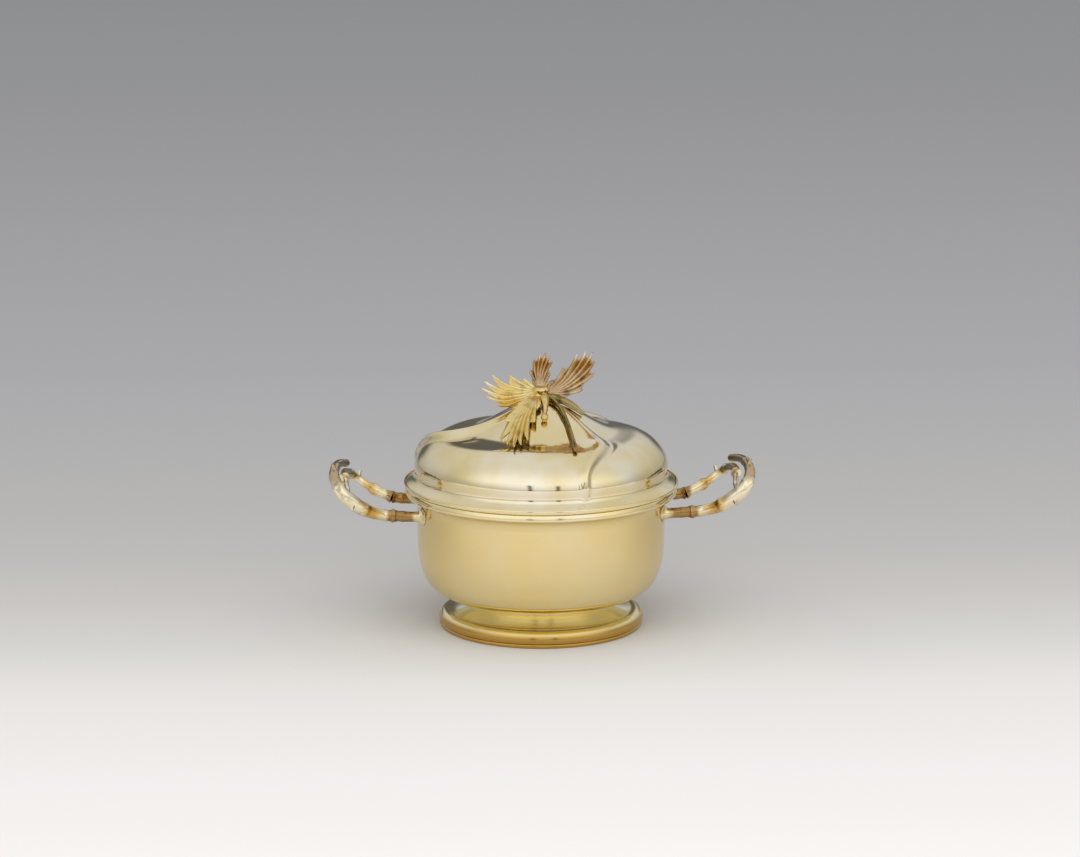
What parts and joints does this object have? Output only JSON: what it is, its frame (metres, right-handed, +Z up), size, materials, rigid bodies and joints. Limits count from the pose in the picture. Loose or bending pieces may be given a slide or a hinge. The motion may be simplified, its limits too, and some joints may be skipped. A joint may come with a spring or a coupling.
{
  "type": "covered box",
  "caption": "Small round covered box of silver-gilt: raised bowl on a spreading foot, entwined branch handles, and a lift-off swirl-ribbed lid with a leaf sprig finial.",
  "frame": {"origin": "middle of the foot's base, on the axis of the bowl", "axes": "+Z up the axis; +X to the right handle, -X to the left handle; -Y is the side seen in the picture"},
  "size_m": [0.161, 0.1042, 0.106],
  "materials": {
    "raised_silver_gilt": "silver, gilded a pale yellow, planished smooth and softly polished",
    "lid_silver_gilt": "silver-gilt, brightly polished, the gilding worn paler on the ribs",
    "cast_silver_gilt": "cast and chased silver-gilt, a deeper yellow with darker hollows",
    "wire_silver_gilt": "drawn silver-gilt wire, smooth and bright from handling",
    "inside_silver_gilt": "silver-gilt, left duller where it isn't seen"
  },
  "bodies": {
    "box_body": {"foot": "raised_silver_gilt", "base_wire": "wire_silver_gilt", "neck_wire": "wire_silver_gilt", "bowl": "raised_silver_gilt", "mouth_wire": "wire_silver_gilt", "right_handle_front_root": "cast_silver_gilt", "right_handle_back_root": "cast_silver_gilt", "right_handle_front_branch": "cast_silver_gilt", "right_handle_back_branch": "cast_silver_gilt", "right_handle_twig": "cast_silver_gilt", "left_handle_front_root": "cast_silver_gilt", "left_handle_back_root": "cast_silver_gilt", "left_handle_front_branch": "cast_silver_gilt", "left_handle_back_branch": "cast_silver_gilt", "left_handle_twig": "cast_silver_gilt"},
    "lid": {"lid_shell": "lid_silver_gilt", "lid_edge_wire": "wire_silver_gilt", "lid_bezel": "inside_silver_gilt", "finial_knop": "cast_silver_gilt", "finial_washer": "inside_silver_gilt", "finial_nut": "inside_silver_gilt", "finial_stud": "inside_silver_gilt", "finial_left_leaf": "cast_silver_gilt", "finial_upright_leaf": "cast_silver_gilt", "finial_right_leaf": "cast_silver_gilt", "finial_drooping_leaf": "cast_silver_gilt", "finial_bud": "cast_silver_gilt", "finial_shoot": "cast_silver_gilt"}
  },
  "joints": [
    {"name": "lid_lift", "type": "slide", "parent": "box_body", "child": "lid", "axis": [0, 0, 1], "range_m": [0, 0.06]}
  ]
}
